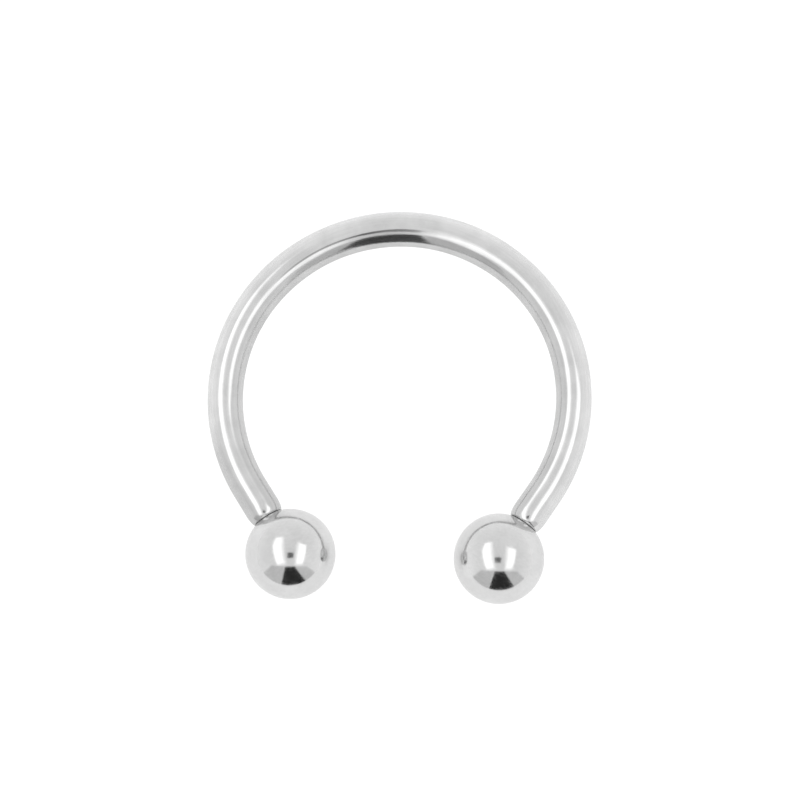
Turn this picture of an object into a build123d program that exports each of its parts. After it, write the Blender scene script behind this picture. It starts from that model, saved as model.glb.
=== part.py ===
from build123d import *

import math
import os

# A horseshoe barbell lying on its side: a round wire bent to a horseshoe, with a ball on a
# threaded post at each end. X runs from the left ball to the right one, Y from the balls to the
# top of the bend, and Z is up. The origin is under the middle of it, on the surface it lies on.
# Sizes are in millimetres and angles in degrees.

# Driving sizes
GAUGE = 1.6  # thickness of the bar
INNER_DIAMETER = 14.0  # across the inside of the bend
BALL_DIAMETER = 4.0
TURN_IN = 33.3  # how far each side bends on past the widest line
STRAIGHT_END = 1.6  # straight stretch between the bend and the end face
END_ROUNDING = 0.13  # radius of the rounded edge of the end face
THREAD_DIAMETER = 1.2
POST_LENGTH = 2.2
POST_CHAMFER = 0.12
SEAT_GAP = 0.02  # between the bar's end face and the flat on the ball
BORE_CLEARANCE = 0.03  # between the post and the wall of its hole, all round
BORE_SPARE = 0.25  # how much deeper the hole is than the post is long
COUNTERSINK = 0.04
FLAT_MARGIN = 0.02  # how much further out the flat on the ball reaches than the end face

# Sizes that follow
bar_radius = GAUGE / 2
ball_radius = BALL_DIAMETER / 2
bend_radius = INNER_DIAMETER / 2 + bar_radius
flat_radius = bar_radius - END_ROUNDING + FLAT_MARGIN
flat_from_centre = math.sqrt(ball_radius**2 - flat_radius**2)
post_radius = THREAD_DIAMETER / 2
bore_radius = post_radius + BORE_CLEARANCE
bore_depth = POST_LENGTH - SEAT_GAP + BORE_SPARE
turn_cos = math.cos(math.radians(TURN_IN))
turn_sin = math.sin(math.radians(TURN_IN))

LEFT, RIGHT = -1, 1


def bend_end(side):
    """Where the bend meets the straight end, on the bar's middle line."""
    return Vector(side * bend_radius * turn_cos, -bend_radius * turn_sin, 0)


def outward(side):
    """The way the straight end and its post point."""
    return Vector(-side * turn_sin, -turn_cos, 0)


def end_face(side):
    """The plane of the bar's end face, with its z axis along the post."""
    centre = bend_end(side) + outward(side) * STRAIGHT_END
    return Plane(origin=centre, x_dir=(0, 0, 1), z_dir=outward(side))


def ball_middle_y():
    """How far the balls' middles lie from the middle of the bend, along Y in its own plane."""
    middle = end_face(LEFT).origin + outward(LEFT) * (SEAT_GAP + flat_from_centre)
    return middle.Y


def make_bar():
    """The bent wire with its two threaded posts, flat in the XY plane."""
    start, end = bend_end(LEFT), bend_end(RIGHT)
    bend = ThreePointArc(start, Vector(0, bend_radius, 0), end)
    path = Line(end_face(LEFT).origin, start) + bend + Line(end, end_face(RIGHT).origin)
    section = Plane(origin=end_face(LEFT).origin, z_dir=-outward(LEFT)) * Circle(bar_radius)
    wire = sweep(section, path=path)
    rims = [edge for edge in wire.edges() if is_end_rim(edge)]
    wire = fillet(rims, radius=END_ROUNDING)
    return wire + make_post(LEFT) + make_post(RIGHT)


def is_end_rim(edge):
    """Whether an edge is the circle round one of the bar's two end faces."""
    middle = edge.center(CenterOf.BOUNDING_BOX)
    return any((middle - end_face(side).origin).length < bar_radius / 10 for side in (LEFT, RIGHT))


def make_post(side):
    """The post that is turned from the bar's end, chamfered at its tip."""
    sunk = bar_radius  # how far it reaches back into the wire, so that they make one solid
    post = Pos(0, 0, -sunk) * Cylinder(
        post_radius, sunk + POST_LENGTH, align=(Align.CENTER, Align.CENTER, Align.MIN)
    )
    post = chamfer(post.faces().sort_by(Axis.Z)[-1].edges(), length=POST_CHAMFER)
    return end_face(side).location * post


def make_ball(side):
    """A ball with the flat that seats on the bar's end, and the blind hole for the post."""
    foot = (Align.CENTER, Align.CENTER, Align.MIN)
    ball = Pos(0, 0, SEAT_GAP + flat_from_centre) * Sphere(ball_radius)
    ball -= Pos(0, 0, SEAT_GAP) * Box(
        BALL_DIAMETER, BALL_DIAMETER, BALL_DIAMETER, align=(Align.CENTER, Align.CENTER, Align.MAX)
    )
    ball -= Pos(0, 0, SEAT_GAP) * Cylinder(bore_radius, bore_depth, align=foot)
    ball -= Pos(0, 0, SEAT_GAP) * Cone(bore_radius + COUNTERSINK, bore_radius, COUNTERSINK, align=foot)
    return end_face(side).location * ball


def lying():
    """Lays the flat bar down as it rests by itself, on both balls and the top of the bend."""
    reach = bend_radius - ball_middle_y()
    tilt = math.asin((ball_radius - bar_radius) / reach)
    low_y = ball_middle_y() * math.cos(tilt) - ball_radius
    high_y = bend_radius * math.cos(tilt) + bar_radius
    height = bar_radius + bend_radius * math.sin(tilt)
    return Pos(0, -(low_y + high_y) / 2, height) * Rot(-math.degrees(tilt), 0, 0)


def main():
    pieces = {"bar": make_bar(), "ball_left": make_ball(LEFT), "ball_right": make_ball(RIGHT)}
    os.makedirs("parts", exist_ok=True)
    for name, piece in pieces.items():
        export_step(lying() * piece, f"parts/{name}.step")


main()
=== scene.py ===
import math

import bpy
from mathutils import Matrix, Vector, noise


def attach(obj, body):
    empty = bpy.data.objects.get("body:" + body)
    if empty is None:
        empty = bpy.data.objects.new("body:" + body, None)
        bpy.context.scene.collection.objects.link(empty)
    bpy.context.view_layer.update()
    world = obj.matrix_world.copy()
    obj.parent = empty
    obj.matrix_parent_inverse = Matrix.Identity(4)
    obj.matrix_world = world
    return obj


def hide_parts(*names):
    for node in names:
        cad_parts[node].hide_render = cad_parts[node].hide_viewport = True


# The looks of a horseshoe barbell in polished steel, lying in a white light box. The meshes are in
# metres in the part's frame: X from the left ball to the right one, Y from the balls to the top of
# the bend, Z up from the surface that it lies on.

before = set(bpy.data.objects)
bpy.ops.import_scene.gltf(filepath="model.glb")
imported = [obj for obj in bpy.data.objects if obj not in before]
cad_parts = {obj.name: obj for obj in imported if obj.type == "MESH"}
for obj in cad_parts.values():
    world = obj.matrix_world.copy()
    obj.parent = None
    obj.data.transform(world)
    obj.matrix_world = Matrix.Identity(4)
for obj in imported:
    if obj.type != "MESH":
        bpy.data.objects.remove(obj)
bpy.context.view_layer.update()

MM = 0.001

# Sizes of the object
GAUGE = 1.6 * MM
INNER_DIAMETER = 14.0 * MM
BALL_DIAMETER = 4.0 * MM
TURN_IN = math.radians(33.3)
STRAIGHT_END = 1.6 * MM
END_ROUNDING = 0.15 * MM  # how far the end's rounded edge comes in
END_TAPER = 0.6 * MM  # how far back from the end face that edge starts
BALL_FROM_END = 1.8972 * MM  # from the bar's end face to the ball's middle
BENT_SECTION = 0.02  # fitted: how much the wire's inner side is raised and its outer one lowered
PRESSED_SECTION = -0.10  # fitted: the same at the top of the bend
PRESSED_FLAT = 0.12  # fitted: how much flatter the wire's upper side is there
PRESSED_LENGTH = 6.5 * MM  # from the top of the bend to where that ends, each way
THREAD_DIAMETER = 1.2 * MM
THREAD_PITCH = 0.25 * MM
THREAD_DEPTH = 0.14 * MM
THREAD_STEEPNESS = 1.3  # of its flanks, where 1 is a plain zigzag
THREAD_CREST = 0.15  # the share of that zigzag that its flat crest cuts off
POST_LENGTH = 2.2 * MM
POST_CHAMFER = 0.12 * MM
NECK_LENGTH = 0.2 * MM  # the plain neck of the post beside the end face
SEAM = 0.006 * MM  # between the bar's end face and the flat on the ball
BORE_CLEARANCE = 0.03 * MM
BORE_SPARE = 0.25 * MM  # how much deeper the hole is than the post is long
BORE_GROOVE = 0.06 * MM  # depth of the thread in the hole
COUNTERSINK = 0.015 * MM
DENT_LENGTH = 2.4 * MM  # of the faint waves that polishing leaves in the steel
WIRE_DENTS = 0.010 * MM  # their depth
BALL_DENTS = 0.003 * MM
BALL_DENTS_FROM = Vector((9 * DENT_LENGTH, 0, 0))  # so that each ball has dents of its own
ON_SKIN = 0.999  # share of its radius past which a point of the ball is on its outside

bar_radius = GAUGE / 2
ball_radius = BALL_DIAMETER / 2
bend_radius = INNER_DIAMETER / 2 + bar_radius
half_bend = bend_radius * (math.pi / 2 + TURN_IN)
half_length = half_bend + STRAIGHT_END
face_radius = bar_radius - END_ROUNDING
flat_radius = math.sqrt(ball_radius**2 - (BALL_FROM_END - SEAM)**2)
post_radius = THREAD_DIAMETER / 2
neck_radius = post_radius - THREAD_DEPTH
bore_radius = post_radius + BORE_CLEARANCE
bore_bottom = POST_LENGTH + BORE_SPARE

LEFT, RIGHT = -1, 1

# Fineness of the meshes
STEPS_AROUND = 128
STEPS_ON_BEND = 360
STEPS_ON_STRAIGHT = 16
STEPS_ON_EDGE = 20
STEPS_A_TURN = 12
STEPS_ON_BALL = 150
SHARP = math.radians(40)  # edges that turn more than this stay sharp


# The object's place

def outward(side):
    """The way a straight end and its post point, in the bend's own plane."""
    return Vector((-side * math.sin(TURN_IN), -math.cos(TURN_IN), 0))


def end_centre(side):
    """The middle of the bar's end face, in the bend's own plane."""
    bend_end = Vector((side * bend_radius * math.cos(TURN_IN), -bend_radius * math.sin(TURN_IN), 0))
    return bend_end + outward(side) * STRAIGHT_END


def lying():
    """From the bend's own plane to the frame, where it rests on both balls and the top of the bend."""
    ball_y = end_centre(LEFT).y + outward(LEFT).y * BALL_FROM_END
    tilt = math.asin((ball_radius - bar_radius) / (bend_radius - ball_y))
    low_y = ball_y * math.cos(tilt) - ball_radius
    high_y = bend_radius * math.cos(tilt) + bar_radius
    height = bar_radius + bend_radius * math.sin(tilt)
    middle = Matrix.Translation((0, -(low_y + high_y) / 2, height))
    return middle @ Matrix.Rotation(-tilt, 4, "X")


LYING = lying()


def end_frame(side):
    """Axes on an end face: the third points along the post. They are left-handed, which makes the
    ball's skin face outward."""
    along = outward(side)
    up = Vector((0, 0, 1))
    turn = Matrix((along.cross(up), up, along)).transposed()
    return LYING @ Matrix.Translation(end_centre(side)) @ turn.to_4x4()


# Meshes

def dent(point, depth):
    """How deep the steel is dented at a point, from nothing to the whole depth. It follows noise, so
    the dents aren't where the real ones are."""
    wave = noise.noise(point / DENT_LENGTH)
    return depth * min(1, max(0, 0.5 + 0.7 * wave))


def mesh_of_rings(name, rings, places):
    """A closed skin over rings of points, with a point at each end. places holds each point's own
    place on the straightened wire or the ball, which the materials read."""
    verts = [point for ring in rings for point in ring]
    faces = []
    start = 0
    for ring, next_ring in zip(rings, rings[1:]):
        next_start = start + len(ring)
        for j in range(STEPS_AROUND):
            k = (j + 1) % STEPS_AROUND
            if len(ring) == 1:
                faces.append((start, next_start + k, next_start + j))
            elif len(next_ring) == 1:
                faces.append((start + j, start + k, next_start))
            else:
                faces.append((start + j, start + k, next_start + k, next_start + j))
        start = next_start
    mesh = bpy.data.meshes.new(name)
    mesh.from_pydata(verts, [], faces)
    place = mesh.attributes.new("place", "FLOAT_VECTOR", "POINT")
    place.data.foreach_set("vector", [number for point in places for number in point])
    mesh.validate()
    mesh.polygons.foreach_set("use_smooth", [True] * len(mesh.polygons))
    mesh.set_sharp_from_angle(angle=SHARP)
    mesh.update()
    piece = bpy.data.objects.new(name, mesh)
    bpy.context.scene.collection.objects.link(piece)
    return piece


def thread_wave(along, turn):
    """From 0 on a thread's crest to 1 in its root, at a distance along it and a turn around it."""
    phase = (along / THREAD_PITCH - turn / (2 * math.pi)) % 1
    return min(1, max(0, THREAD_STEEPNESS * (1 - abs(2 * phase - 1)) - THREAD_CREST))


def post_radius_at(along, turn):
    """The threaded post's radius, with its chamfered tip and the plain neck at its root."""
    tip = post_radius - POST_CHAMFER + (POST_LENGTH - along)
    runout = neck_radius + max(0, along - NECK_LENGTH)
    return min(post_radius - THREAD_DEPTH * thread_wave(along, turn), tip, runout)


def around():
    """The angles of the points of one ring."""
    return [2 * math.pi * j / STEPS_AROUND for j in range(STEPS_AROUND)]


def post_stations():
    """(distance beyond the end face, radius by angle) from the post's tip to the end face."""
    steps = round(POST_LENGTH / THREAD_PITCH * STEPS_A_TURN)
    stations = []
    for i in range(steps + 1):
        along = POST_LENGTH * (1 - i / steps)
        stations.append((along, [post_radius_at(along, turn) for turn in around()]))
    for i in range(STEPS_ON_EDGE + 1):
        angle = math.pi / 2 * i / STEPS_ON_EDGE
        along = END_TAPER * (math.cos(angle) - 1)
        radius = face_radius + END_ROUNDING * math.sin(angle)
        stations.append((along, [radius] * STEPS_AROUND))
    return stations


def section_shape(along_wire, out, high):
    """The share of a round wire's height that its upper side has at a place on its section. It is
    fitted to the reflections in the photograph, which shows this shape in no other way."""
    if high <= 0:
        return 1
    pressed = math.cos(math.pi / 2 * min(1, abs(along_wire) / PRESSED_LENGTH))**2
    raised = BENT_SECTION + (PRESSED_SECTION - BENT_SECTION) * pressed
    return 1 - raised * out / bar_radius - PRESSED_FLAT * pressed


def wire_section(centre, across, along_wire, radii, bent=1.0):
    """A ring of the bar's points, and their places on the straightened wire. bent is how much of the
    bending and of the dents shows there."""
    up = Vector((0, 0, 1))
    ring, places = [], []
    for turn, radius in zip(around(), radii):
        out, high = radius * math.cos(turn), radius * math.sin(turn)
        dented = 1 - bent * dent(Vector((along_wire, out, high)), WIRE_DENTS) / radius
        out, high = out * dented, high * dented
        high *= 1 + bent * (section_shape(along_wire, out, high) - 1)
        ring.append(LYING @ (centre + across * out + up * high))
        places.append((along_wire, out, high))
    return ring, places


def straight_stations():
    """(distance beyond the end face, radius by angle) from the rounded edge back to the bend."""
    step = (STRAIGHT_END - END_TAPER) / STEPS_ON_STRAIGHT
    return [(-END_TAPER - step * (i + 1), [bar_radius] * STEPS_AROUND) for i in range(STEPS_ON_STRAIGHT)]


def end_sections(side):
    """The sections of one end of the bar, from its post's tip back to the bend."""
    along = outward(side)
    across = side * along.cross(Vector((0, 0, -1)))
    tip = LYING @ (end_centre(side) + along * POST_LENGTH)
    sections = [([tip], [(side * (half_length + POST_LENGTH), 0, 0)])]
    for distance, radii in post_stations() + straight_stations():
        centre = end_centre(side) + along * distance
        bent = min(1, max(0, -distance / STRAIGHT_END))
        sections.append(wire_section(centre, across, side * (half_length + distance), radii, bent))
    return sections


def bend_sections():
    """The sections of the bend, from its left end to its right one."""
    sections = []
    for i in range(1, STEPS_ON_BEND):
        share = 2 * i / STEPS_ON_BEND - 1
        angle = math.pi / 2 - share * (math.pi / 2 + TURN_IN)
        across = Vector((math.cos(angle), math.sin(angle), 0))
        radii = [bar_radius] * STEPS_AROUND
        sections.append(wire_section(across * bend_radius, across, share * half_bend, radii))
    return sections


def make_bar():
    """The bar, from its left post's tip to its right one."""
    sections = end_sections(LEFT) + bend_sections() + end_sections(RIGHT)[::-1]
    rings = [ring for ring, _ in sections]
    places = [place for _, ring_places in sections for place in ring_places]
    return mesh_of_rings("polished_bar", rings, places)


def ball_profile():
    """(distance beyond the end face, radius by angle) from the ball's far side to its hole's end."""
    last = math.pi - math.asin(flat_radius / ball_radius)
    stations = []
    for i in range(1, STEPS_ON_BALL + 1):
        angle = last * i / STEPS_ON_BALL
        radius = ball_radius * math.sin(angle)
        stations.append((BALL_FROM_END + ball_radius * math.cos(angle), [radius] * STEPS_AROUND))
    mouth = bore_radius + COUNTERSINK
    stations.append((SEAM, [mouth] * STEPS_AROUND))
    bore_length = bore_bottom - SEAM - COUNTERSINK
    steps = round(bore_length / THREAD_PITCH * STEPS_A_TURN)
    for i in range(steps + 1):
        along = SEAM + COUNTERSINK + bore_length * i / steps
        fade = min(1, i / STEPS_A_TURN, (steps - i) / STEPS_A_TURN)
        radii = [bore_radius + BORE_GROOVE * fade * thread_wave(along, turn) for turn in around()]
        stations.append((along, radii))
    return BALL_FROM_END + ball_radius, stations


def make_ball(name, side):
    """The ball on one side, with the flat that seats on the bar's end and its threaded hole."""
    far, stations = ball_profile()
    to_frame = end_frame(side)
    rings, places = [[to_frame @ Vector((0, 0, far))]], [(0, 0, ball_radius)]
    for along, radii in stations:
        ring = []
        for turn, radius in zip(around(), radii):
            place = Vector((radius * math.cos(turn), radius * math.sin(turn), along - BALL_FROM_END))
            if place.length > ball_radius * ON_SKIN:
                place *= 1 - dent(place + side * BALL_DENTS_FROM, BALL_DENTS) / ball_radius
            ring.append(to_frame @ (place + Vector((0, 0, BALL_FROM_END))))
            places.append(place)
        rings.append(ring)
    rings.append([to_frame @ Vector((0, 0, bore_bottom))])
    places.append((0, 0, bore_bottom - BALL_FROM_END))
    return mesh_of_rings(name, rings, places)


# Materials

CLOUDS_A_METRE = 900  # how fine the steel's cloudiness is
MARK_DEPTH = 0.00006 * MM  # of the hairline marks that polishing leaves
MARK_TONES = (0.97, 1.03)  # how they change its tone
MARK_HAZE = (0.09, 0.19)  # and its roughness
EDGE_TINT = 0.96  # how bright the steel mirrors at a grazing angle

# Painted reflections on the wire: darker tones that the light box alone doesn't give, fitted to the
# photograph, standing for darker things around it that the steel mirrors. Whether they are marks on
# the steel or mirror images isn't known. A pair is where one fades, across the wire or along it from
# the top of the bend.
INNER_REFLECTION = 0.84  # painted reflection of darker surroundings: how bright the wire's inner side is
INNER_REFLECTION_ACROSS = (-0.40 * MM, -0.22 * MM)
END_REFLECTION = 0.77  # painted reflection of something dark: how bright the outer side of its left end is
END_REFLECTION_ACROSS = (0.15 * MM, 0.5 * MM)
END_REFLECTION_ALONG = (-15.8 * MM, -13.2 * MM)
DARK_LINE_REFLECTION = 0.5  # painted reflection: how bright the fine dark line along its top is
DARK_LINE_FROM_MIDDLE = 0.26 * MM
DARK_LINE_WIDTH = (0.015 * MM, 0.06 * MM)
DARK_LINE_START = (-8 * MM, -5 * MM)
DARK_LINE_END = (-3 * MM, 0)
RUBBED_HAZE = 0.12  # how much rougher the wire's innermost side is
RUBBED_ACROSS = (-0.64 * MM, -0.48 * MM)
RUBBED_AT_TOP = 0.4  # the share of that at the top of the bend
RUBBED_ALONG = (4 * MM, 9 * MM)


def add_node(tree, kind, inputs=None, **settings):
    """A shader node with values for its inputs and settings."""
    node = tree.nodes.new(kind)
    for key, value in settings.items():
        setattr(node, key, value)
    for key, value in (inputs or {}).items():
        node.inputs[key].default_value = value
    return node


def ramp(tree, source, span, low, high):
    """From low to high where the source goes through the span, with soft ends."""
    sizes = {"From Min": span[0], "From Max": span[1], "To Min": low, "To Max": high}
    node = add_node(tree, "ShaderNodeMapRange", sizes, interpolation_type="SMOOTHSTEP")
    tree.links.new(source, node.inputs["Value"])
    return node.outputs["Result"]


def combine(tree, operation, first, second=0):
    """One step of arithmetic on numbers or other nodes' outputs."""
    node = add_node(tree, "ShaderNodeMath", operation=operation)
    for i, value in enumerate((first, second)):
        if isinstance(value, (int, float)):
            node.inputs[i].default_value = value
        else:
            tree.links.new(value, node.inputs[i])
    return node.outputs[0]


def product(tree, *factors):
    """All the factors multiplied."""
    result = factors[0]
    for factor in factors[1:]:
        result = combine(tree, "MULTIPLY", result, factor)
    return result


def wire_painted_reflections(tree, place, tone, haze):
    """The wire's fitted tone and roughness: painted reflections darken its inner side and the outer side
    of its left end and draw a fine dark line along part of its top; it is rougher along its innermost
    side."""
    axes = add_node(tree, "ShaderNodeSeparateXYZ")
    tree.links.new(place, axes.inputs[0])
    along, out, high = axes.outputs
    inner = ramp(tree, out, INNER_REFLECTION_ACROSS, 1, 0)
    # painted reflection darkening the outer side of the left end
    end_reflection = product(tree, ramp(tree, out, END_REFLECTION_ACROSS, 0, 1), ramp(tree, along, END_REFLECTION_ALONG, 1, 0))
    # painted reflection: a fine dark line along part of the wire's top
    aside = combine(tree, "ABSOLUTE", combine(tree, "ADD", out, DARK_LINE_FROM_MIDDLE))
    dark_line = product(tree, ramp(tree, aside, DARK_LINE_WIDTH, 1, 0), ramp(tree, high, (0, bar_radius / 4), 0, 1),
                   ramp(tree, along, DARK_LINE_START, 0, 1), ramp(tree, along, DARK_LINE_END, 1, 0))
    # painted reflections: each mask darkens the tone down to its brightness
    for painted_reflection, brightness in ((inner, INNER_REFLECTION), (end_reflection, END_REFLECTION), (dark_line, DARK_LINE_REFLECTION)):
        tone = product(tree, tone, ramp(tree, painted_reflection, (0, 1), 1, brightness))
    from_top = combine(tree, "ABSOLUTE", along)
    rubbed = product(tree, ramp(tree, out, RUBBED_ACROSS, RUBBED_HAZE, 0),
                     ramp(tree, from_top, RUBBED_ALONG, RUBBED_AT_TOP, 1))
    return tone, combine(tree, "ADD", haze, rubbed)


def polished_steel(name, dull, bright, streaks, film=0, painted_reflection=None):
    """Mirror-polished steel, a little cloudy, with hairline marks that run as streaks says: the
    stretch of the marks' pattern along the place's three axes. film is how much its film scatters."""
    material = bpy.data.materials.new(name)
    material.use_nodes = True
    tree = material.node_tree
    link = tree.links.new
    shader = tree.nodes["Principled BSDF"]
    shader.inputs["Metallic"].default_value = 1 - film
    shader.inputs["Specular Tint"].default_value = (EDGE_TINT, EDGE_TINT, EDGE_TINT, 1)
    place = add_node(tree, "ShaderNodeAttribute", attribute_name="place").outputs["Vector"]

    cloud = add_node(tree, "ShaderNodeTexNoise",
                     {"Scale": CLOUDS_A_METRE, "Detail": 3, "Roughness": 0.55})
    link(place, cloud.inputs["Vector"])
    stretched = add_node(tree, "ShaderNodeMapping", {"Scale": streaks})
    link(place, stretched.inputs["Vector"])
    marks = add_node(tree, "ShaderNodeTexNoise", {"Scale": 1, "Detail": 4, "Roughness": 0.6})
    link(stretched.outputs["Vector"], marks.inputs["Vector"])

    tone = ramp(tree, cloud.outputs["Fac"], (0.3, 0.7), dull, bright)
    tone = product(tree, tone, ramp(tree, marks.outputs["Fac"], (0.3, 0.7), *MARK_TONES))
    haze = ramp(tree, marks.outputs["Fac"], (0.3, 0.75), *MARK_HAZE)
    # the wire's painted reflections, which darken its tone, and its extra roughness
    if painted_reflection:
        tone, haze = painted_reflection(tree, place, tone, haze)
    colour = add_node(tree, "ShaderNodeCombineColor")
    for channel in ("Red", "Green", "Blue"):
        link(tone, colour.inputs[channel])
    link(colour.outputs["Color"], shader.inputs["Base Color"])
    link(haze, shader.inputs["Roughness"])
    bump = add_node(tree, "ShaderNodeBump", {"Strength": 1, "Distance": MARK_DEPTH})
    link(marks.outputs["Fac"], bump.inputs["Height"])
    link(bump.outputs["Normal"], shader.inputs["Normal"])
    return material


# The light box: floor, walls and lamps

# A glow of 1 is the white of the picture.
FLOOR_HALF = 0.6
FLOOR_FRAMES = 4  # squares in one another, each a quarter as wide as the next
FLOOR_SHADE = 0.6
FLOOR_GLOW = 0.53
PICTURE_FLOOR_SHADE = 0.1
PICTURE_FLOOR_GLOW = 1.0
WALL_GLOW = 1.13  # low down, and a little above white, as the lamps are
CEILING_GLOW = 0.94  # straight above
WALLS_EVEN_TO = 0.1  # the height of a direction up to which they are evenly bright
LAMP_GLOW = 1.75
LENS_GLOW = 0.18
LEFT_PANEL_GLOW = 0.73
RIGHT_PANEL_GLOW = 0.76
OPENING_GLOW = 0.03
LAMPS_ABOVE = 0.2  # how far the cards are from the object
LENS_ABOVE = 0.07
PANELS_IN_FRONT = 0.2
OPENING_IN_FRONT = 0.199


def glowing(name, radiance):
    """A glow of one radiance, which fades to clear where the card's own shade is 0."""
    material = bpy.data.materials.new(name)
    material.use_nodes = True
    tree = material.node_tree
    tree.nodes.clear()
    glow = add_node(tree, "ShaderNodeEmission", {"Strength": radiance})
    out = add_node(tree, "ShaderNodeOutputMaterial")
    shade = add_node(tree, "ShaderNodeAttribute", attribute_name="shade")
    clear = add_node(tree, "ShaderNodeBsdfTransparent")
    mix = add_node(tree, "ShaderNodeMixShader")
    tree.links.new(shade.outputs["Fac"], mix.inputs["Fac"])
    tree.links.new(clear.outputs[0], mix.inputs[1])
    tree.links.new(glow.outputs[0], mix.inputs[2])
    tree.links.new(mix.outputs[0], out.inputs["Surface"])
    return material


def card(name, corners, radiance, outer=None):
    """A glowing flat card that the camera doesn't see. It fades out from its corners to outer."""
    outer = outer or corners
    count = len(corners)
    faces = [tuple(range(count))]
    faces += [(i, (i + 1) % count, count + (i + 1) % count, count + i) for i in range(count)]
    mesh = bpy.data.meshes.new(name)
    mesh.from_pydata([Vector(c) for c in corners + outer], [], faces)
    shade = mesh.attributes.new("shade", "FLOAT", "POINT")
    shade.data.foreach_set("value", [1] * count + [0] * count)
    piece = bpy.data.objects.new(name, mesh)
    bpy.context.scene.collection.objects.link(piece)
    mesh.materials.append(glowing(name, radiance))
    piece.visible_camera = False
    return piece


def overhead(height, points):
    """Corners on a level plane, from their slopes along X and Y as seen from the object."""
    return [(x * height, y * height, height) for x, y in points]


def in_front(distance, points):
    """Corners on an upright plane in front, from their slopes along X and Z as seen from the object."""
    return [(x * distance, -distance, z * distance) for x, z in points]


def floor_material(name, shade, glow):
    """A matt floor of one shade, which also glows a little to be evenly lit."""
    material = bpy.data.materials.new(name)
    material.use_nodes = True
    shader = material.node_tree.nodes["Principled BSDF"]
    shader.inputs["Base Color"].default_value = (shade, shade, shade, 1)
    shader.inputs["Roughness"].default_value = 1
    shader.inputs["Specular IOR Level"].default_value = 0
    shader.inputs["Emission Color"].default_value = (1, 1, 1, 1)
    shader.inputs["Emission Strength"].default_value = glow
    return material


def make_floor(name, height, shade, glow):
    """A level floor of square frames, small near the object, so that its shading stays exact."""
    halves = [FLOOR_HALF / 4**i for i in range(FLOOR_FRAMES)]
    square = ((-1, -1), (1, -1), (1, 1), (-1, 1))
    corners = [(x * half, y * half, height) for half in halves for x, y in square]
    faces = [tuple(range(len(corners) - 4, len(corners)))]
    for i in range(len(halves) - 1):
        for j in range(4):
            k = (j + 1) % 4
            faces.append((4 * i + j, 4 * i + k, 4 * i + 4 + k, 4 * i + 4 + j))
    mesh = bpy.data.meshes.new(name)
    mesh.from_pydata(corners, [], faces)
    piece = bpy.data.objects.new(name, mesh)
    bpy.context.scene.collection.objects.link(piece)
    mesh.materials.append(floor_material(name, shade, glow))
    return piece


def make_floors():
    """The floor that the steel mirrors, with the object's soft shade on it, and just below it the
    evenly lit one that stands for it in the picture."""
    mirrored = make_floor("floor", 0, FLOOR_SHADE, FLOOR_GLOW)
    mirrored.visible_camera = False
    lit = make_floor("lit_floor", -1 * MM, PICTURE_FLOOR_SHADE, PICTURE_FLOOR_GLOW)
    lit.visible_glossy = False
    lit.visible_diffuse = False
    lit.visible_shadow = False


def make_walls():
    """White walls and ceiling: the glow falls a little from the horizon up."""
    world = bpy.data.worlds.new("light box")
    bpy.context.scene.world = world
    world.use_nodes = True
    tree = world.node_tree
    back = tree.nodes["Background"]
    back.inputs["Color"].default_value = (1, 1, 1, 1)
    way = add_node(tree, "ShaderNodeTexCoord")
    part = add_node(tree, "ShaderNodeSeparateXYZ")
    heights = {"From Min": WALLS_EVEN_TO, "From Max": 1, "To Min": WALL_GLOW, "To Max": CEILING_GLOW}
    glow = add_node(tree, "ShaderNodeMapRange", heights)
    tree.links.new(way.outputs["Generated"], part.inputs["Vector"])
    tree.links.new(part.outputs["Z"], glow.inputs["Value"])
    tree.links.new(glow.outputs["Result"], back.inputs["Strength"])


def make_cards():
    """What the steel mirrors beside the walls: two soft lamps and the lens overhead, and two panels
    in front with the dark opening between them."""
    left_lamp = [(-0.80, 0.76), (-0.50, 0.72), (-0.30, -0.50), (-0.64, -0.62), (-0.90, 0.3)]
    left_fade = [(-0.84, 0.88), (-0.26, 0.80), (-0.06, -0.66), (-0.66, -0.86), (-0.97, 0.3)]
    right_lamp = [(0.57, 0.40), (0.96, 0.40), (0.74, -0.56), (0.43, -0.54), (0.49, 0)]
    right_fade = [(0.32, 0.54), (1.02, 0.48), (0.80, -0.84), (0.27, -0.74), (0.25, 0)]
    lens = [(-0.11, -0.12), (0.17, -0.12), (0.14, -0.35), (-0.12, -0.36)]
    left_panel = [(-1.3, 0), (-1.3, 1.1), (-0.3, 1.35), (-0.3, 0)]
    right_panel = [(0.45, 0), (0.36, 1.35), (1.33, 1.0), (1.33, 0)]
    opening = [(-0.28, 0), (-0.25, 1.30), (0.41, 1.32), (0.57, 0)]
    card("left lamp", overhead(LAMPS_ABOVE, left_lamp), LAMP_GLOW, overhead(LAMPS_ABOVE, left_fade))
    card("right lamp", overhead(LAMPS_ABOVE, right_lamp), LAMP_GLOW, overhead(LAMPS_ABOVE, right_fade))
    card("lens", overhead(LENS_ABOVE, lens), LENS_GLOW)
    card("left panel", in_front(PANELS_IN_FRONT, left_panel), LEFT_PANEL_GLOW)
    card("right panel", in_front(PANELS_IN_FRONT, right_panel), RIGHT_PANEL_GLOW)
    card("dark opening", in_front(OPENING_IN_FRONT, opening), OPENING_GLOW)


# The camera

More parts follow.
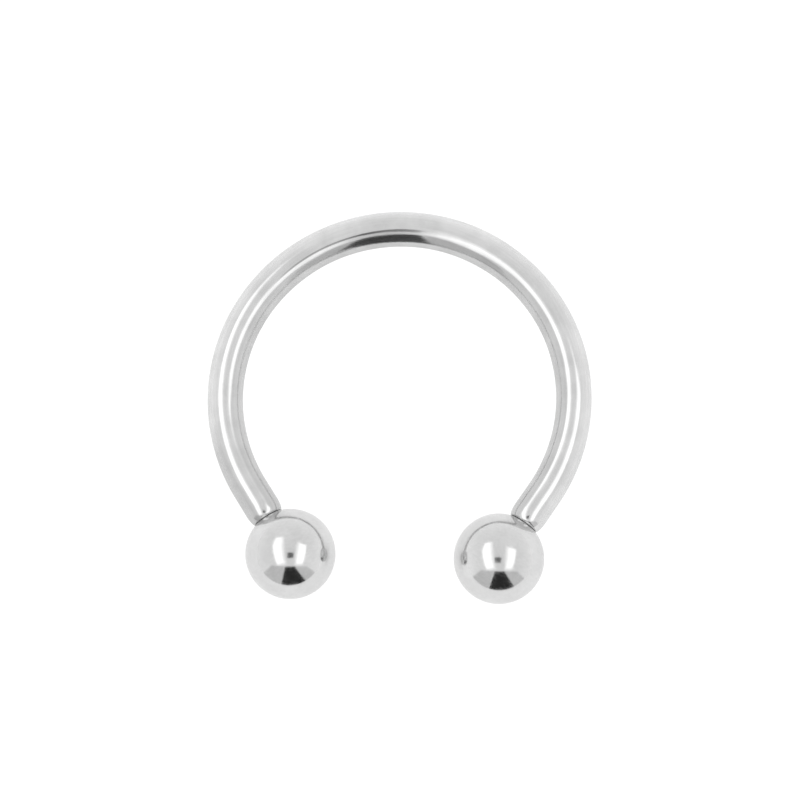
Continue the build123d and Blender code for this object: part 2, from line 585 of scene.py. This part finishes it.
CAMERA_FROM_OBJECT = 110 * MM
PIXELS = 800
PIXELS_A_METRE = 22.482 / MM  # at the middle of the balls' height
CAMERA_ELEVATION = math.radians(81.558)
CAMERA_AZIMUTH = math.radians(15.813)
CAMERA_ROLL = math.radians(-1.5)
LOOK_AT = Vector((0, LYING.translation.y, ball_radius))
LOOK_AT_PIXEL = (398.2, 394.5)  # where that point is in the picture, from its top left


def make_camera():
    """The camera at the photograph's angle, almost straight above."""
    scene = bpy.context.scene
    back = Vector((math.sin(CAMERA_AZIMUTH) * math.cos(CAMERA_ELEVATION),
                   -math.cos(CAMERA_AZIMUTH) * math.cos(CAMERA_ELEVATION),
                   math.sin(CAMERA_ELEVATION)))
    right = Vector((0, 1, 0)).cross(back).normalized()
    up = back.cross(right)
    cos_roll, sin_roll = math.cos(CAMERA_ROLL), math.sin(CAMERA_ROLL)
    right, up = right * cos_roll - up * sin_roll, right * sin_roll + up * cos_roll
    data = bpy.data.cameras.new("camera")
    camera = bpy.data.objects.new("camera", data)
    scene.collection.objects.link(camera)
    seen = PIXELS / PIXELS_A_METRE
    data.lens = data.sensor_width * CAMERA_FROM_OBJECT / seen
    middle = (PIXELS - 1) / 2
    data.shift_x = (middle - LOOK_AT_PIXEL[0]) / PIXELS
    data.shift_y = (LOOK_AT_PIXEL[1] - middle) / PIXELS
    data.clip_start, data.clip_end = 1 * MM, 10
    turn = Matrix((right, up, back)).transposed().to_4x4()
    camera.matrix_world = Matrix.Translation(LOOK_AT + back * CAMERA_FROM_OBJECT) @ turn
    scene.camera = camera


def dress(piece, node, material):
    """Puts a piece in its CAD node's place, on that node's body."""
    piece.data.materials.append(material)
    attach(piece, node)
    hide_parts(node)


bar_steel = polished_steel("bar_steel", 0.60, 0.67, (400, 14000, 14000), 0.06, wire_painted_reflections)
ball_steel = polished_steel("ball_steel", 0.595, 0.645, (5000, 5000, 16000))
dress(make_bar(), "bar", bar_steel)
dress(make_ball("polished_ball_left", LEFT), "ball_left", ball_steel)
dress(make_ball("polished_ball_right", RIGHT), "ball_right", ball_steel)
make_floors()
make_walls()
make_cards()
make_camera()
bpy.context.scene.view_settings.view_transform = "Standard"
